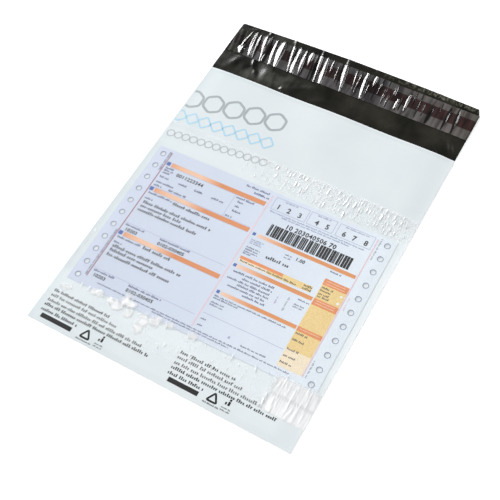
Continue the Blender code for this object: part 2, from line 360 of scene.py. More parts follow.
inkColours = {  # printed colours, as linear values
    "orange": (0.75, 0.28, 0.11),
    "bandOrange": (0.75, 0.28, 0.11),
    "paleOrange": (0.82, 0.55, 0.42),
    "square": (0.09, 0.15, 0.42),
    "navy": (0.040, 0.050, 0.150),
    "greyBlue": (0.22, 0.26, 0.42),
    "black": (0.016, 0.016, 0.018),
    "dark": (0.05, 0.05, 0.06),
    "grey": (0.20, 0.21, 0.24),
    "lavender": (0.36, 0.37, 0.56),
    "pink": (0.74, 0.54, 0.60),
    "perforation": (0.36, 0.21, 0.25),
    "yellow": (0.80, 0.60, 0.27),
    "cream": (0.86, 0.74, 0.55),
    "purple": (0.36, 0.20, 0.50),
    "white": (0.84, 0.84, 0.84),
    # painted shade, not ink: the ring round each feed hole
    "ringGrey": (0.18, 0.20, 0.34),
    "motifGrey": (0.36, 0.40, 0.42),
    "motifBlue": (0.40, 0.62, 0.76),
    "motifThin": (0.42, 0.46, 0.48),
}
inks = {}

bandTints = [  # the note's headings: place along the note from 0 to 1, and the tint there
    (0.07, (0.68, 0.30, 0.14)), (0.15, (0.80, 0.50, 0.34)), (0.22, (0.82, 0.55, 0.39)),
    (0.31, (0.68, 0.26, 0.10)), (0.515, (0.71, 0.29, 0.12)), (0.53, (0.84, 0.62, 0.50)),
    (0.58, (0.80, 0.47, 0.31)), (0.66, (0.71, 0.29, 0.11)), (0.95, (0.74, 0.32, 0.12)),
]


def ink(name):
    if name not in inks:
        colour = inkColours[name]
        material, tree, shader = newFinish("ink" + name[0].upper() + name[1:], colour, 0.5, level=0.25)
        dots = noiseNode(tree, 1500, 2.0)
        if name == "bandOrange":
            tints = rampNode(tree, alongAxis(tree, "X", noteLow.x, noteHigh.x), bandTints)
            tree.links.new(tints, shader.inputs["Base Color"])
        else:
            thin = tuple(min(1.0, part * 1.12 + 0.012) for part in colour)
            thick = tuple(part * 0.92 for part in colour)
            varyColour(tree, shader, thick, thin, dots)
        varyRoughness(tree, shader, 0.42, 0.58, dots)
        inks[name] = material
    return inks[name]


# Bag film: front panel, bottom fold, back panel and flap are one web

film = {
    "thickness": 0.06,
    "flapLength": 56.4,
    "sideWeld": 1.5,
    "weldRise": 0.13,     # two films fused
    "pillow": 0.65,       # height of the front panel
    "shoulder": 17.0,
    "foldShoulder": 6.0,
    "headWave": 0.9,
    "undulation": 0.16,
    "foldReach": 0.45,
    "lipCurl": 0.45,
    "flapCurl": 3.2,
    "columns": 301,
    "clippedCorner": (3.3, 8.0),  # right flap corner: across and along
    "roundedCorner": 1.2,         # left flap corner
}
mouthY = bagHigh.y - film["flapLength"]
headLength = mouthY - pouchHigh.y

# Soft folds of the black film on both sides of the liner: place, heading, half length, half width, height
flapFolds = [
    ((-83, 128), 112, 5.5, 1.6, 0.75), ((-77, 119), 128, 4.5, 1.8, 0.80),
    ((-66, 121), 105, 8.5, 6.5, 1.35), ((-47, 112.5), 75, 3.6, 2.2, 0.80),
    ((-99, 123), 60, 9, 3.5, 0.50), ((-30, 121), 28, 16, 3.2, 0.45),
    ((-12, 115), 22, 14, 2.6, 0.30), ((30, 118), 165, 24, 3.6, 0.40),
    ((66, 119), 15, 18, 3.2, 0.35), ((97, 113), 140, 9, 2, 0.70),
    ((106, 119), 120, 7, 1.8, 0.75), ((84, 162.4), 55, 2.6, 1.4, 0.60),
    ((90, 162.8), 118, 2.4, 1.3, 0.55), ((95.5, 162.3), 70, 2.4, 1.3, 0.60),
    ((101, 162.6), 100, 2.2, 1.2, 0.50), ((77.5, 162.8), 75, 2.4, 1.4, 0.50),
    ((71, 162.5), 110, 2.4, 1.3, 0.50), ((64, 162.9), 65, 2.4, 1.5, 0.50),
    ((56, 162.6), 80, 2.2, 1.4, 0.45), ((49, 162.8), 100, 2.2, 1.3, 0.45),
    ((41, 162.7), 70, 2.2, 1.6, 0.45), ((20, 163), 75, 2, 1.5, 0.35),
    ((-60, 163), 80, 2, 1.5, 0.40), ((-85, 163), 100, 2, 1.3, 0.40),
    ((-100, 162), 15, 5, 1.4, 0.18),
]

# Puckers of the glued laminate: x at the flap end, x at the mouth end, width of the rising
# side, its tilt in degrees, and where the pucker starts and stops
puckers = [
    (-102, -104, 1.5, 20, 160, 140), (-97.5, -92, 3.2, 21, 161, 132),
    (-104.5, -101.5, 5.5, 16, 143, 131), (-87, -80.5, 2.6, 21, 161, 131),
    (-80.5, -78.5, 1.4, 20, 146, 131), (-76.5, -71, 2.8, 21, 160, 130),
    (-70, -66, 4.6, 20, 161, 130), (-59, -52.5, 2, 22, 167, 130),
    (-53.5, -49, 3.8, 20, 161, 130), (-47, -42.5, 2.4, 21, 161, 131),
    (-41, -38.5, 3, 18, 161, 143), (-32, -27, 2, 22, 167, 130),
    (-26.5, -21, 3.2, 20, 161, 130), (-20, -16, 1.5, 20, 160, 144),
    (-8, -2.5, 2.9, 21, 167, 130), (3, 8, 1.2, 18, 160, 135),
    (7.5, 10.5, 1.2, 17, 158, 133), (12, 16.5, 2.8, 20, 160, 131),
    (21, 23, 1.8, 19, 160, 146), (33, 34.5, 1.6, 12, 160, 134),
    (41, 42.5, 1.6, 15, 160, 146), (46.5, 47.5, 1.6, 18, 147, 133),
    (54, 55.5, 1.6, 16, 156, 134), (63, 65, 1.5, 10, 160, 133),
    (-67, -62.5, 0.8, 20, 158, 140), (-38, -33.5, 0.8, 20, 150, 131),
    (-14, -9.5, 0.9, 18, 157, 137), (17.5, 20, 0.8, 17, 152, 133),
    (27.5, 29.5, 0.9, 17, 160, 141), (37.5, 39, 0.8, 16, 150, 132),
    (58.5, 60, 0.8, 16, 159, 144), (68.5, 70, 0.9, 15, 152, 137),
    (82, 83, 0.8, 15, 158, 147), (-93, -88, 3, -20, 160, 131),
    (-82.8, -77.5, 3.8, -20, 162, 131), (-56.8, -50.8, 2.6, -20, 160, 131),
    (-45.5, -40.5, 1.6, -18, 160, 133), (-36, -31, 3.2, -20, 161, 131),
    (-11.5, -6.5, 1.8, -18, 160, 134), (24, 26, 1.6, -18, 158, 134),
    (49.5, 50.5, 1.8, -18, 150, 134), (75.5, 75, 3.6, -18, 151, 131),
    (89, 89.5, 3, -17, 157, 131), (95.5, 98, 3.8, -19, 159, 131),
]


def puckerForm(x, y):  # height, and the painted shade in the fold beside each crest
    rise, dark = np.zeros_like(x), np.zeros_like(x)
    lengthwise = (y - linerLow.y) / (linerHigh.y - linerLow.y)
    for k, (outerX, innerX, width, tilt, start, stop) in enumerate(puckers):
        crest = innerX + (outerX - innerX) * lengthwise + width / 2
        along = np.clip((y - stop) / (start - stop), 0, 1)
        broad = width * (0.35 + 0.65 * np.sin(pi * along ** (0.6 + 0.3 * (k % 4))))
        away = x - crest
        fall = 0.35 * broad + 0.5
        profile = np.where(away < 0, 1 + away / broad, 1 - away / fall)
        steeper = 5 * float(ease((outerX + 45) / 90))  # the right end is seen more squarely
        peak = broad * tan(radians(abs(tilt) + steeper))
        ends = ease((start - y) / 1.5) * ease((y - stop) / 1.5)
        if tilt < 0:  # a closed fold: a low crease, shown by a painted shade line
            peak = 0.35 * peak
            dark = np.maximum(dark, ends * ease(1.4 - np.abs(away) / (0.5 * broad)))
        else:
            # painted shade on the side of each crest turned away from the left lamp
            lee = ease(away / 0.4) * ease(1 + (0.6 * fall + 0.5 - away) / 0.5)
            dark = np.maximum(dark, 0.8 * ends * lee)
        rise = np.maximum(rise, peak * np.clip(profile, 0, 1) * ends)
    return rise, dark


def frontHeight(x, y):  # upper face of the front panel
    fromSide = (side - film["sideWeld"] - np.abs(x)) / film["shoulder"]
    fromFold = (y - bagLow.y) / film["foldShoulder"]
    pillow = (film["pillow"] - film["weldRise"]) * ease(fromSide) * ease(0.25 + 0.75 * fromFold)
    upTheHead = ease((y - pouchHigh.y) / headLength)
    wave = np.cos(pi * x / (2 * side)) * (0.5 + 0.5 * np.sin(5 * pi * x / (2 * side) + 0.7))
    soft = film["undulation"] * ripple(x, y, 62, 3) * ease(fromSide) * ease(fromFold / 2)
    return film["weldRise"] + pillow + film["headWave"] * upTheHead * wave + soft


def flapHeight(x, y):  # underside of the flap
    out = np.maximum(0.0, (y - mouthY) / film["flapLength"])
    rise = film["flapCurl"] * out ** 2 * np.cos(pi * x / (2 * side))
    pastMouth = ease((y - mouthY) / 4)
    for fold in flapFolds:
        rise = rise + ridge(x, y, *fold) * pastMouth
    rise = rise + 0.22 * (1 + ripple(x, y, 34, 8)) * pastMouth
    share = 0.3 + 0.7 * ease((y - linerHigh.y) / 1.5)
    return rise + puckerForm(x, y)[0] * share * pastMouth


def bagFilm():
    fold = film["foldReach"]
    foldY = bagLow.y + fold
    front = np.concatenate([
        spread(mouthY, mouthY - 4, 0.8),
        spread(mouthY - 4, pouchHigh.y, 2.2)[1:],
        spread(pouchHigh.y, pouchLow.y, 7.5)[1:],
        spread(pouchLow.y, foldY + 6, 2.0)[1:],
        spread(foldY + 6, foldY, 0.9)[1:],
    ])
    back = spread(foldY, mouthY, 13)
    flap = np.concatenate([spread(mouthY, linerHigh.y, 1.2), spread(linerHigh.y, bagHigh.y, 0.5)[1:]])[1:]
    turns = radians(30) * np.arange(1, 6)
    across = np.linspace(-side, side, film["columns"])

    level = np.ones_like(across)
    rows = []  # each row's y and its heights
    for y in front:
        lip = film["lipCurl"] * ease((y - mouthY + 4) / 4) * ease((side - np.abs(across)) / 12)
        rows.append((y * level, frontHeight(across, y * level) + lip))
    half = frontHeight(across, foldY * level) / 2
    rows += [((foldY - fold * sin(turn)) * level, half * (1 + cos(turn))) for turn in turns]
    rows += [(y * level, 0 * level) for y in back]
    rows += [(y * level, flapHeight(across, y * level)) for y in flap]
    y, z = np.array([row[0] for row in rows]), np.array([row[1] for row in rows])
    x = np.tile(across, (len(y), 1))

    clipX, clipY = film["clippedCorner"]
    radius = film["roundedCorner"]
    onFlap = (np.arange(len(y)) >= len(y) - len(flap))[:, None]
    clipped = clipX * np.clip((y - bagHigh.y + clipY) / clipY, 0, 1)
    rounded = radius * np.clip((y - bagHigh.y + radius) / radius, 0, 1) ** 2
    shift = -clipped * np.clip((x - side + 12) / 12, 0, 1) + rounded * np.clip((-x - side + 6) / 6, 0, 1)
    x = x + np.where(onFlap, shift, 0)

    piece = addPiece(gridMesh("bagFilm", x, y, z), "bag_film", [whiteFilm(), blackFilm()], "bag_body")
    thicken(piece, film["thickness"], -1, insideSlot=1)


# Adhesive and liner on the flap

laminate = {
    "glueGap": 0.03,
    "glueThickness": 0.14,
    "linerGap": 0.05,
    "linerThickness": 0.05,
    "ripplePitch": 4.4,
    "rippleHeight": 0.10,
    "crackleHeight": 0.10,
    "crackledLeft": -6,    # where the liner is crackled most
    "crackledRight": 44,
    "crackledBottom": 138,
    "crackleFade": 10,
}


def adhesiveStrip():
    x, y = np.meshgrid(spread(-side, side, 0.76), spread(glueHigh.y, glueLow.y, 1.1))
    y = y + 0.25 * ripple(x, y, 9, 21) * np.where(np.abs(y - (glueLow.y + glueHigh.y) / 2) > 5, 1, 0)
    z = flapHeight(x, y) + film["thickness"] + laminate["glueGap"]
    piece = addPiece(gridMesh("adhesiveStrip", x, y, z), "hot_melt", [hotMelt()], "adhesive_strip")
    thicken(piece, laminate["glueThickness"], 1)


def linerHeight(x, y):
    seat = film["thickness"] + laminate["glueGap"] + laminate["glueThickness"] + laminate["linerGap"]
    free = ease((side - np.abs(x)) / 3)
    wave = 0.5 + 0.5 * np.sin(2 * pi * (x + 0.2 * (y - linerLow.y)) / laminate["ripplePitch"]
                              + 1.4 * ripple(x, 0 * y, 23, 5))
    fade = laminate["crackleFade"]
    most = ease((x - laminate["crackledLeft"]) / fade) * ease((laminate["crackledRight"] - x) / fade)
    most = most * ease((y - laminate["crackledBottom"]) / 4)
    crackle = most * (1 + ripple(x, 0.5 * y, 3.1, 14)) + 0.2 * (1 + ripple(x, 0.15 * y, 5.0, 15))
    rise = 0.7 * puckerForm(x, y)[0] + laminate["rippleHeight"] * wave * free
    return flapHeight(x, y) + seat + rise + laminate["crackleHeight"] * crackle * free


def releaseLiner():
    x, y = np.meshgrid(spread(-side, side, 0.36), spread(linerHigh.y, linerLow.y, 0.9))
    places, slants = zip(*sorted((row[0], row[1] - row[0]) for row in puckers))
    lean = np.interp(x, [-side, *places, side], [0, *slants, 0])
    x = x + lean * (linerHigh.y - y) / (linerHigh.y - linerLow.y)  # columns run along the crests
    mesh = gridMesh("releaseLiner", x, y, linerHeight(x, y))
    markPaintedLight(mesh, puckerForm(x, y)[1])
    piece = addPiece(mesh, "liner_film", [linerFilm()], "release_liner")
    thicken(piece, laminate["linerThickness"], 1)


# Consignment note in its clear pouch

note = {
    "width": 215.9,
    "length": 139.7,
    "skew": radians(0.94),
    "gap": 0.06,
    "thickness": 0.16,
    "holePitch": 12.7,
    "holesASide": 11,
    "holeRadius": 1.95,
    "holeInset": 6.35,
    "holeSides": 24,
    "punchReach": (0.2, 4.0),  # heights between which the holes are cut
    # the painted shade ring round each feed hole
    "shadeRingRadius": 2.26,
    "shadeRingWidth": 0.46,
    "shadeRingSides": 28,
    "curl": 0.04,
}


def toBag(u, v):  # from the note's own axes to the bag's
    turn = note["skew"]
    return (noteMiddle.x + u * cos(turn) - v * sin(turn), noteMiddle.y + u * sin(turn) + v * cos(turn))


def toNote(x, y):
    turn = note["skew"]
    dx, dy = x - noteMiddle.x, y - noteMiddle.y
    return dx * cos(turn) + dy * sin(turn), dy * cos(turn) - dx * sin(turn)


def noteUnder(x, y):
    return frontHeight(x, y) + note["gap"] + note["curl"] * (1 + ripple(x, y, 45, 31))


def noteTop(x, y):
    return noteUnder(x, y) + note["thickness"]


def feedHoles():
    row = (np.arange(note["holesASide"]) - (note["holesASide"] - 1) / 2) * note["holePitch"]
    column = note["width"] / 2 - note["holeInset"]
    return [(end * column, v) for end in (-1, 1) for v in row]


def consignmentNote():
    halfWidth, halfLength = note["width"] / 2, note["length"] / 2
    u, v = np.meshgrid(spread(-halfWidth, halfWidth, 2.6), spread(halfLength, -halfLength, 2.6))
    x, y = toBag(u, v)
    mesh = gridMesh("consignmentNote", x, y, noteUnder(x, y))
    piece = addPiece(mesh, "note_paper", [notePaper()], "consignment_note")
    thicken(piece, note["thickness"], 1)

    points, faces = [], []
    sides = note["holeSides"]
    for place in feedHoles():
        start = len(points)
        corners = ring(*toBag(*place), note["holeRadius"], sides)
        for height in note["punchReach"]:
            points += [(*corner, height) for corner in corners]
        faces.append([start + k for k in reversed(range(sides))])
        faces.append([start + sides + k for k in range(sides)])
        for k in range(sides):
            after = (k + 1) % sides
            faces.append([start + k, start + after, start + sides + after, start + sides + k])
    pins = bpy.data.meshes.new("feedPins")
    pins.from_pydata((np.array(points) * mm).tolist(), [], faces)
    punch = bpy.data.objects.new("feedPins", pins)
    scene.collection.objects.link(punch)
    cut = piece.modifiers.new("holes", "BOOLEAN")
    cut.operation = "DIFFERENCE"
    cut.solver = "EXACT"
    cut.object = punch
    keepModifiers(piece, 40)
    bpy.data.objects.remove(punch)
    bpy.data.meshes.remove(pins)


pouch = {
    "weldGap": 0.08,
    "overNote": 0.52,      # underside of the film above the front panel, over the note
    "drape": 4.6,          # how far past the note's edge the film comes down
    "endRun": 80.75,       # from the note's middle to the weld and to the seam
    "thickness": 0.05,
    "upperWrinkles": 430,
    "softWrinkles": 40,
    "blotchWrinkles": 46,
    "faintWrinkles": 110,
    "sharpWrinkles": 46,
    "sideWrinkles": 5,
    "highestWrinkle": 1.9,
    "freeEdgeRise": 0.35,
    "bundleLeft": 76,      # the bundle of folds at the lower right
    "bundleTop": -117,
    "fineUpper": 23,       # how far the close rows of points reach from each end
    "fineLower": 29,
}
pouchMiddleY = (pouchLow.y + pouchHigh.y) / 2


def pouchWrinkles():  # place, heading, half length, half width, height of each
    chance = np.random.default_rng(47)
    found = []
    for _ in range(pouch["upperWrinkles"]):
        x = -45 + 154 * chance.beta(1.9, 1.0)
        y = chance.uniform(22.5, 42.5)
        width = chance.uniform(0.36, 0.65)
        slope = chance.uniform(0.13, 0.56)
        found.append(((x, y), 90 + chance.normal(0, 6), chance.uniform(1.3, 3.3), width, slope * width))
    lower = [  # how many, where in x and y, half widths, slopes, half lengths, spread of heading
        ("softWrinkles", (-106, -62), (-131, -121), (1.2, 2.6), (0.06, 0.16), (1.5, 3.5), 26),
        ("blotchWrinkles", (-60, -20), (-139, -118), (1.4, 3.0), (0.04, 0.11), (1.8, 4.5), 26),
        ("faintWrinkles", (-25, 80), (-142, -119), (0.45, 0.9), (0.12, 0.32), (1.5, 5.0), 30),
        ("sharpWrinkles", (78, 110), (-144, -119), (0.50, 0.90), (0.18, 0.48), (2.5, 6.0), 8),
    ]
    for kind, acrossIn, alongIn, widths, slopes, lengths, turn in lower:
        for _ in range(pouch[kind]):
            x, y = chance.uniform(*acrossIn), chance.uniform(*alongIn)
            width = chance.uniform(*widths)
            found.append(((x, y), 90 + chance.normal(0, turn), chance.uniform(*lengths), width,
                          chance.uniform(*slopes) * width))
    for k in range(pouch["sideWrinkles"]):
        y = -60 - 10.5 * k
        found.append(((-111 + chance.uniform(-0.8, 0.8), y), 90 + chance.normal(0, 9),
                      chance.uniform(4, 7), 0.8, 0.25))
    return found


wrinkles = pouchWrinkles()


def wrinkleHeight(x, y):
    rise = np.zeros_like(x)
    for wrinkle in wrinkles:
        rise = rise + ridge(x, y, *wrinkle)
    return np.minimum(rise, pouch["highestWrinkle"])


def offJoins(y):  # the film lies flat along the weld and the seam
    offWeld = ease(np.abs(y - pouchMiddleY + pouch["endRun"]) / 2.2)
    offSeam = ease(np.abs(y - pouchMiddleY - pouch["endRun"]) / 2.2)
    return 0.25 + 0.75 * offWeld * offSeam


# Painted sheen, white blotches below the note: x, y, half width, half length and how white
sheenBlotches = [
    (-102, -131.5, 4, 2, 0.70), (-76, -124.5, 5, 2, 0.75), (-58.5, -126, 4.5, 3, 1),
    (-50, -120.5, 5, 2.6, 1.05), (-45.5, -127.5, 2.4, 3.2, 0.85), (-32, -131, 3.4, 6, 1.05),
    (-23, -124, 4, 3.4, 0.70), (-12, -121.5, 3, 2, 0.60), (8, -121.5, 3.2, 2.4, 0.65),
]


def paintedGlintShare(x, y):  # painted glints and sheen: the film is made whiter, most on the steep left sides of wrinkles
    step = 0.2
    slope = (wrinkleHeight(x + step, y) - wrinkleHeight(x - step, y)) / (2 * step)
    # painted glints on the sides that rise to the right and face the left lamp
    folds = ease((slope - 0.10) / 0.26) * (0.2 + 0.8 * ease((x + 109) / 4))
    # painted sparkle along the upper band
    upper = 0.08 * ease((x + 50) / 80) * ease((y - 20) / 3) * (1 + 0.6 * ripple(x, 0.4 * y, 5, 61))
    patches = np.zeros_like(x)
    for placeX, placeY, halfX, halfY, share in sheenBlotches:
        far = ((x - placeX) / halfX) ** 2 + ((y - placeY) / halfY) ** 2
        patches = np.maximum(patches, share * ease(1.05 - 0.38 * far + 0.35 * ripple(x, 0.7 * y, 5, 62)))
    # painted sheen over the bundle of folds at the lower right
    inBundle = ease((x - pouch["bundleLeft"]) / 8) * ease((pouch["bundleTop"] - y) / 3)
    bundle = inBundle * (0.92 + 0.22 * ripple(x, 0.08 * y, 2.6, 63))
    whitened = (patches + bundle) * (0.45 + 0.55 * offJoins(y))
    return np.clip(0.9 * folds + upper + whitened, 0, 1)


def pouchUnder(x, y):
    u, v = toNote(x, y)
    outside = np.maximum(np.abs(u) - note["width"] / 2, np.abs(v) - note["length"] / 2)
    lift = (pouch["overNote"] - pouch["weldGap"]) * ease(1 - outside / pouch["drape"])
    fromSide = ease((side - film["sideWeld"] - np.abs(x)) / 3)
    freeEdge = pouch["freeEdgeRise"] * ease((y - pouchHigh.y + 3) / 3) * (1 + ripple(x, y, 17, 51)) * fromSide
    rise = wrinkleHeight(x, y) * fromSide * offJoins(y)
    return frontHeight(x, y) + pouch["weldGap"] + lift + rise + freeEdge


def documentPouch():
    upper, lower = pouchHigh.y - pouch["fineUpper"], pouchLow.y + pouch["fineLower"]
    along = np.concatenate([
        spread(pouchHigh.y, upper, 0.9),
        spread(upper, lower, 5.5)[1:],
        spread(lower, pouchLow.y, 1.0)[1:],
    ])
    x, y = np.meshgrid(spread(-side, side, 0.4), along)
    mesh = gridMesh("documentPouch", x, y, pouchUnder(x, y))
    markPaintedLight(mesh, paintedGlintShare(x, y))
    piece = addPiece(mesh, "clear_film", [clearFilm()], "document_pouch")
    thicken(piece, pouch["thickness"], 1)


# Print: every mark is a thin layer of ink on its sheet; the painted shade rings round the feed holes are laid
# the same way

def newMarks():
    return {"points": [], "faces": [], "inks": []}


def field(marks, inkName, x0, x1, y0, y1, cell=3.5):  # a filled rectangle of cells, to follow the sheet
    columns = max(1, ceil((x1 - x0) / cell))
    rows = max(1, ceil((y1 - y0) / cell))
    stepX, stepY = (x1 - x0) / columns, (y1 - y0) / rows
    start = len(marks["points"])
    marks["points"] += [(x0 + i * stepX, y0 + j * stepY) for j in range(rows + 1) for i in range(columns + 1)]
    for j in range(rows):
        for i in range(columns):
            first = start + j * (columns + 1) + i
            marks["faces"].append([first, first + 1, first + columns + 2, first + columns + 1])
            marks["inks"].append(inkName)


def lineOfType(marks, inkName, start, end, y, height, seed, weight=0.36):  # small upright ticks
    chance = np.random.default_rng(seed)
    x = start
    pitch = 0.64 * height
    while x < end - 0.3 * pitch:
        for _ in range(int(chance.integers(3, 9))):
            if x > end - 0.3 * pitch:
                break
            tall = height * chance.choice([0.66, 0.7, 1.0])
            low = y - height / 2
            field(marks, inkName, x, x + weight * height, low, low + tall)
            if chance.random() < 0.5:
                middle = low + tall * chance.choice([0.12, 0.5, 0.86])
                x0, x1 = x + weight * height, x + 0.56 * height
                field(marks, inkName, x0, x1, middle - 0.08 * height, middle + 0.08 * height)
            x += pitch
        x += 0.8 * pitch


def uprightType(marks, inkName, x, y0, y1, width, seed):  # a line of type that runs up the sheet
    chance = np.random.default_rng(seed)
    y = y0
    while y < y1:
        for _ in range(int(chance.integers(3, 8))):
            if y > y1:
                break
            wide = width * chance.choice([0.66, 0.7, 1.0])
            field(marks, inkName, x - width / 2, x - width / 2 + wide, y, y + 0.30 * width)
            y += 0.62 * width
        y += 0.5 * width


def numbers(marks, inkName, text, x, y, height):  # plain digits in the built-in typeface
    curve = bpy.data.curves.new("digits", "FONT")
    curve.body = text
    curve.size = height * 1.42
    curve.space_character = 1.12
    curve.offset = 0.045 * height  # a little bolder than the built-in typeface
    curve.resolution_u = 3
    holder = bpy.data.objects.new("digits", curve)
    scene.collection.objects.link(holder)
    bpy.context.view_layer.update()
    graph = bpy.context.evaluated_depsgraph_get()
    flat = bpy.data.meshes.new_from_object(holder.evaluated_get(graph))
    start = len(marks["points"])
    for vert in flat.vertices:
        marks["points"].append((x + vert.co.x, y - height / 2 + vert.co.y))
    for face in flat.polygons:
        marks["faces"].append([start + k for k in face.vertices])
        marks["inks"].append(inkName)
    bpy.data.objects.remove(holder)
    bpy.data.curves.remove(curve)
    bpy.data.meshes.remove(flat)


def finer(path, closed, step=1.2):  # a path with no long gap between its points
    found = []
    for k, here in enumerate(path):
        found.append(here)
        if closed or k < len(path) - 1:
            after = path[(k + 1) % len(path)]
            parts = max(1, ceil((after - here).length / step))
            found += [here.lerp(after, part / parts) for part in range(1, parts)]
    return found


def stroke(marks, inkName, path, width, closed=True):  # a line of even width along a path
    path = finer([Vector(point) for point in path], closed)
    count = len(path)
    start = len(marks["points"])
    for k, point in enumerate(path):
        before = path[k - 1] if closed or k else point
        after = path[(k + 1) % count] if closed or k < count - 1 else point
        run = (after - before).normalized()
        aside = Vector((-run.y, run.x)) * width / 2
        marks["points"] += [tuple(point + aside), tuple(point - aside)]
    for k in range(count if closed else count - 1):
        a, b = start + 2 * k, start + 2 * ((k + 1) % count)
        marks["faces"].append([a, a + 1, b + 1, b])
        marks["inks"].append(inkName)


def printPiece(name, marks, slotName, place, top, lift, thickness=0.02):
    names = sorted(set(marks["inks"]))
    points = np.array(marks["points"])
    x, y = place(points[:, 0], points[:, 1])
    points = (np.stack([x, y, top(x, y) + lift], axis=1) * mm).tolist()
    mesh = bpy.data.meshes.new(name)
    mesh.from_pydata(points, [], marks["faces"])
    upward = [face.normal.z for face in mesh.polygons]
    if min(upward) < 0:  # every face is turned to look up
        turned = [face if up > 0 else face[::-1] for face, up in zip(marks["faces"], upward)]
        mesh.clear_geometry()
        mesh.from_pydata(points, [], turned)
    mesh.polygons.foreach_set("material_index", [names.index(used) for used in marks["inks"]])
    piece = addPiece(mesh, slotName, [ink(used) for used in names])
    thicken(piece, thickness, 1)


def barcode(marks, x0, x1, y0, y1, seed):  # plain bars of random width, no code
    chance = np.random.default_rng(seed)
    x = x0
    while x < x1 - 1.5:
        for _ in range(int(chance.integers(2, 5))):
            width = chance.choice([0.8, 1.2, 2.1])
            field(marks, "black", x, min(x + width, x1), y0, y1)
            x += width + chance.choice([0.20, 0.32])
        x += chance.choice([0.55, 0.8])


def leftHalf(marks):
    for y in (54.5, 27.5, -19.0):
        field(marks, "bandOrange", -89, -1, y, y + 4)
        field(marks, "square", -93.5, -90, y + 0.2, y + 3.8)
        field(marks, "lavender", -89, -1, y - 0.25, y)
    small = [
        (-92, -84, 52.5), (-92, -84, 50), (-92, -85, 47.5), (-25, -8, 52.5), (-22, -17, 49),
        (-22, -18.5, 44.5), (-22, -13, 40), (-25, -19, 34), (-92, -82, 43), (-74, -66, 43),
        (-59, -50, 43), (-43, -32, 43), (-92, -76, 37.5), (-92, -85, 34), (-78, -62, 34),
        (-92, -70, 25.5), (-92, -85, 20), (-92, -75, -8.5), (-60, -32, -8.5), (-92, -71, -21),
        (-92, -85, -26), (-92, -74, -54.5), (-60, -31, -54.5), (-23, -1, 66), (-14, -1, 62),
    ]
    for k, (x0, x1, y) in enumerate(small):
        lineOfType(marks, "navy", x0, x1, y, 2.0, 100 + k)
    dark = [
        (-68, -33, 24.5), (-91, -28, 16), (-91, -52, 12), (-91, -36, 8), (-68, -44, -21),
        (-91, -29, -29.5), (-91, -52, -33.5), (-91, -34, -38),
    ]
    for k, (x0, x1, y) in enumerate(dark):
        lineOfType(marks, "dark", x0, x1, y, 2.9, 140 + k)
    numbers(marks, "dark", "0011223344", -80, 49.7, 3.2)
    for y in (-12.5, -58.5):
        numbers(marks, "black", "10203", -90.5, y, 2.9)
        numbers(marks, "black", "0102-030405", -60, y, 2.9)
    for y in (31.9, -7.0, -53.0):
        field(marks, "lavender", -93, -1.5, y, y + 0.3)
    field(marks, "lavender", -26.8, -26.5, 32, 54)
    uprightType(marks, "navy", -96, 48, 67, 1.8, 171)
    uprightType(marks, "navy", -96, -61, -15, 1.6, 172)
    field(marks, "perforation", -95.1, -94.1, -62, 67)
    lineOfType(marks, "navy", -83, 84, -63.5, 1.3, 173)
    lineOfType(marks, "navy", -32, 34, -65.5, 1.2, 174)


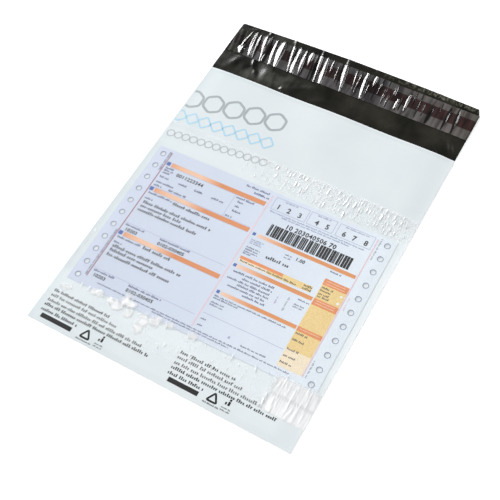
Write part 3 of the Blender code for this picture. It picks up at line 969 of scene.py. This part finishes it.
def rightHalf(marks):
    field(marks, "pink", 0.5, 1.5, -62, 66)
    for x0, x1 in ((4.5, 34.5), (36, 58.5), (61, 91)):
        for y in (54.5, 66.2):
            field(marks, "lavender", x0, x1, y, y + 0.35)
        for x in (x0, x1 - 0.35):
            field(marks, "lavender", x, x + 0.35, 54.5, 66.5)
    for k, (x0, x1) in enumerate(((13, 24), (42, 53), (66, 86))):
        lineOfType(marks, "greyBlue", x0, x1, 65, 1.3, 200 + k)
    for digit, x in zip("12345678", (8.4, 17.6, 27.2, 42.3, 51.4, 65.8, 74.4, 84.4)):
        numbers(marks, "dark", digit, x, 58.7, 4.4)
    lineOfType(marks, "greyBlue", 5.5, 88, 52.6, 1.3, 205)
    lineOfType(marks, "greyBlue", 17, 76, 50.6, 1.3, 206)
    numbers(marks, "black", "10 203040506 70", 23.5, 45.2, 3.9)
    barcode(marks, 12.8, 83.7, 31.4, 42.4, 207)
    field(marks, "bandOrange", 7.6, 91.8, 26.6, 29.8)
    for x, y in ((3.2, 26.9), (3.2, -3.9), (3.2, -29.8)):
        field(marks, "square", x, x + 2.7, y, y + 2.7)
    small = [
        (5, 15.5, 23.2), (5, 14, 21.6), (5, 15, 20), (35, 41, 22.7), (35, 41, 20.2),
        (72.5, 81.5, 24.6), (4.7, 16.6, 15.8), (4.7, 16, 13.6), (4.7, 16.6, 11.6), (4.7, 12, 9.8),
        (61.7, 71.2, -7.2), (60.7, 69, -12), (60.7, 68, -14), (3.7, 64.6, -32.3), (3.7, 24.7, -34.2),
        (4, 15, -38), (4, 15, -40.2), (4, 8, -53.3), (4, 8, -58.8), (41.7, 63.2, -59.8),
    ]
    for k, (x0, x1, y) in enumerate(small):
        lineOfType(marks, "navy" if k > 2 else "greyBlue", x0, x1, y, 1.35, 210 + k)
    numbers(marks, "black", "1.00", 44, 22.7, 2.9)
    lineOfType(marks, "black", 22.7, 43, 14.3, 2.9, 235)
    field(marks, "orange", 4.7, 42, 4.2, 6.9)
    field(marks, "yellow", 42, 67, 4.2, 6.9)
    field(marks, "cream", 4.7, 30, 1.4, 4.2)
    field(marks, "yellow", 30, 67, 1.4, 4.2)
    field(marks, "bandOrange", 6.4, 71, -4.2, -0.7)
    starts = (5.9, 15.6, 4.4, 14.6, 8.2, 22.7)
    for k, (x0, y) in enumerate(zip(starts, (-7.2, -10.6, -13.9, -16.9, -20.1, -23.2))):
        lineOfType(marks, "navy", x0, 41.3, y, 1.9, 240 + k)
    uprightType(marks, "purple", 47.5, -18.3, -11.7, 1.6, 250)
    uprightType(marks, "grey", 55.4, -21, -8.9, 1.6, 251)
    field(marks, "bandOrange", 6.9, 71.2, -30.1, -26.9)
    field(marks, "lavender", 3, 71, -48.5, -48.2)
    field(marks, "lavender", 30, 31.6, -59, -57)
    rightColumn(marks)
    for y0, y1, inkName in ((47, 67, "grey"), (-1, 11, "pink"), (-61, -46, "grey")):
        uprightType(marks, inkName, 95.7, y0, y1, 1.5, 260 + y1)
    field(marks, "pink", 92.6, 93.6, -61, 66)


def rightColumn(marks):
    x0, x1 = 72.0, 92.3
    bands = [
        (12.0, 17.7, "orange"), (-0.8, 12.0, "yellow"), (-6.5, -0.8, "orange"), (-26.7, -6.5, "yellow"),
        (-30.6, -26.7, "orange"), (-46.0, -30.6, "yellow"), (-61.2, -46.0, "cream"),
    ]
    for low, high, inkName in bands:
        field(marks, inkName, x0, x1, low, high)


def columnType(marks):
    lineOfType(marks, "dark", 6, 54, 2.9, 1.7, 236)
    lineOfType(marks, "dark", 60, 66.5, 5.6, 1.9, 237)
    lineOfType(marks, "dark", 60, 66.5, 3.0, 1.9, 238)
    for k, y in enumerate((9.8, 7.2, 4.1, 1.7, -32.3, -38, -46.2, -51.9, -57.5)):
        lineOfType(marks, "dark", 73, 82.5, y, 1.7, 270 + k)
    for y in (8.4, 2.2):
        disc(marks, "white", 89.7, y, 1.1)
    for y in (15.6, 13.4, -2.6, -4.7, -28.6):
        field(marks, "paleOrange", 74, 90, y, y + 0.5)


def disc(marks, inkName, x, y, radius, sides=20):
    start = len(marks["points"])
    marks["points"] += ring(x, y, radius, sides)
    marks["faces"].append([start + k for k in range(sides)])
    marks["inks"].append(inkName)


def notePrint():
    marks = newMarks()
    leftHalf(marks)
    rightHalf(marks)
    printPiece("notePrint", marks, "note_paper", toBag, noteTop, 0.02)
    over = newMarks()  # type that crosses a printed field lies on top of it
    columnType(over)
    printPiece("noteOverprint", over, "note_paper", toBag, noteTop, 0.05)
    # painted shade: a grey ring round each feed hole stands in for the shadow at its edge
    shadeRings = newMarks()
    for place in feedHoles():
        stroke(shadeRings, "ringGrey", ring(*place, note["shadeRingRadius"], note["shadeRingSides"]), note["shadeRingWidth"])
    printPiece("feedHoleShade", shadeRings, "note_paper", toBag, noteTop, 0.02, 0.04)


def roundedPath(corners, radius, steps=4):  # a closed path with its corners rounded
    path = []
    count = len(corners)
    for k in range(count):
        here = Vector(corners[k])
        toBefore = (Vector(corners[k - 1]) - here).normalized()
        toAfter = (Vector(corners[(k + 1) % count]) - here).normalized()
        for s in range(steps + 1):
            t = s / steps
            path.append(here + toBefore * radius * (1 - t) ** 2 + toAfter * radius * t ** 2)
    return path


headMotif = {  # three rows of plain outlines that climb across the head panel
    "rows": (
        {"ink": "motifGrey", "start": (-110, 70.5), "end": (-34, 79.5), "count": 5, "size": 9.6,
         "line": 2.2, "corners": 6, "turn": 30, "round": 2.6},
        {"ink": "motifBlue", "start": (-111, 50.5), "end": (-30, 57.5), "count": 8, "size": 6.3,
         "line": 1.5, "corners": 4, "turn": 0, "round": 1.6},
        {"ink": "motifThin", "start": (-108, 31), "end": (-23, 39), "count": 13, "size": 3.3,
         "line": 0.95, "corners": 12, "turn": 0, "round": 0.4},
    ),
    "leftEdge": -113.0,  # the print runs off the film here
}


def bagPrint():
    marks = newMarks()
    for spec in headMotif["rows"]:
        (x0, y0), (x1, y1) = spec["start"], spec["end"]
        for k in range(spec["count"]):
            t = k / (spec["count"] - 1)
            place = (x0 + (x1 - x0) * t, y0 + (y1 - y0) * t)
            corners = ring(*place, spec["size"], spec["corners"], spec["turn"])
            path = finer(roundedPath(corners, spec["round"]), True, 0.6)
            kept = [point.x > headMotif["leftEdge"] for point in path]
            whole = all(kept)
            if not whole:
                first = next(j for j in range(len(path)) if kept[j] and not kept[j - 1])
                turned = path[first:] + path[:first]
                path = [point for point in turned if point.x > headMotif["leftEdge"]]
            stroke(marks, spec["ink"], path, spec["line"], closed=whole)
    footBlock(marks, -108.0, 0.0, 1.0, 300)
    footBlock(marks, 7.0, 1.2, 0.9, 320)
    printPiece("bagPrint", marks, "bag_film", lambda x, y: (x, y), frontHeight, 0.03)


def footBlock(marks, x, lift, scale, seed):  # fine type, a solid bar and two plain marks
    ends = (51, 61.5, 87, 96, 33)
    for k, (y, end) in enumerate(zip((-137, -141.3, -145.8, -150, -154.6), ends)):
        lineOfType(marks, "black", x, x + end * scale, y + lift, 2.6, seed + k)
    field(marks, "black", x + 3 * scale, x + 31.5 * scale, lift - 161.3, lift - 157.6)
    signX, signY = x + 44 * scale, 1.5 * lift - 158
    stroke(marks, "black", roundedPath(ring(signX, signY, 4.7, 3, 90), 1.3), 1.5)
    lineOfType(marks, "black", signX - 6, signX + 7, signY - 4.6, 1.2, seed + 8)
    signX = x + 56.5 * scale
    disc(marks, "black", signX + 1.1, signY + 5, 0.9)
    field(marks, "black", signX + 0.2, signX + 2.0, signY + 0.6, signY + 3.8)
    field(marks, "black", signX - 1.9, signX - 0.6, signY + 0.6, signY + 2.6)
    lineOfType(marks, "black", signX - 3, signX + 4.5, signY - 2, 1.1, seed + 9)
    lineOfType(marks, "black", signX - 3, signX + 4.5, signY - 4, 1.1, seed + 10)


# Stage, light and camera

studio = {
    "floorReach": 4.0,
    "floorDrop": 0.0003,
    "floorGlow": 0.22,
    "softboxes": (  # name, azimuth, elevation, distance, size and radiance
        ("leftSoftbox", 150, 25, 2.4, (1.48, 0.78), 17),
        ("topSoftbox", -110, 64, 1.7, (1.4, 1.1), 3),
        ("backSoftbox", 52, 38, 1.5, (0.6, 0.35), 6),
    ),
    "lens": 68.4,
    "cameraPlace": (0.24283, -0.33279, 0.63151),
    "cameraTurn": (30.4566, 4.9865, 30.0037),
}


def stageAndLight():
    mesh = bpy.data.meshes.new("floor")
    reach = studio["floorReach"]
    mesh.from_pydata([(-reach, -reach, 0), (reach, -reach, 0), (reach, reach, 0), (-reach, reach, 0)],
                     [], [(0, 1, 2, 3)])
    floor = bpy.data.objects.new("floor", mesh)
    floor.location.z = -studio["floorDrop"]
    scene.collection.objects.link(floor)
    material, tree, shader = newFinish("paleFloor", (0.96, 0.96, 0.96), 0.9, level=0.0)
    grain = noiseNode(tree, 12, 2.0)
    varyColour(tree, shader, (0.955, 0.955, 0.955), (0.97, 0.97, 0.97), grain)
    setInputs(shader, {"Emission Color": (1, 1, 1, 1), "Emission Strength": studio["floorGlow"]})
    mesh.materials.append(material)

    world = bpy.data.worlds.new("studio")
    scene.world = world
    world.use_nodes = True
    tree = world.node_tree
    place = tree.nodes.new("ShaderNodeTexCoord")
    sky = rampNode(tree, axisOf(tree, place.outputs["Generated"], "Z"), [
        (0.0, (0.95, 0.96, 0.97)), (0.16, (0.80, 0.82, 0.83)), (0.42, (0.12, 0.125, 0.13)),
        (1.0, (0.09, 0.095, 0.10)),
    ])
    tree.links.new(sky, tree.nodes["Background"].inputs["Color"])

    for spec in studio["softboxes"]:
        softbox(*spec)


def softbox(name, azimuth, elevation, distance, size, radiance):
    light = bpy.data.lights.new(name, "AREA")
    light.shape = "RECTANGLE"
    light.size, light.size_y = size
    light.energy = radiance * pi * size[0] * size[1]
    holder = bpy.data.objects.new(name, light)
    flat = cos(radians(elevation))
    direction = Vector((flat * cos(radians(azimuth)), flat * sin(radians(azimuth)), sin(radians(elevation))))
    holder.location = direction * distance
    holder.rotation_euler = direction.to_track_quat("Z", "Y").to_euler()
    scene.collection.objects.link(holder)


def placeCamera():
    lens = bpy.data.cameras.new("camera")
    lens.lens = studio["lens"]
    lens.sensor_width = 36
    lens.clip_start = 0.01
    holder = bpy.data.objects.new("camera", lens)
    holder.location = studio["cameraPlace"]
    holder.rotation_euler = Euler([radians(turn) for turn in studio["cameraTurn"]], "XYZ")
    scene.collection.objects.link(holder)
    scene.camera = holder


placeCamera()
print("camera placed")
bagFilm()
adhesiveStrip()
releaseLiner()
consignmentNote()
notePrint()
bagPrint()
documentPouch()
stageAndLight()
scene.view_settings.view_transform = "Standard"
print("stage and light set")
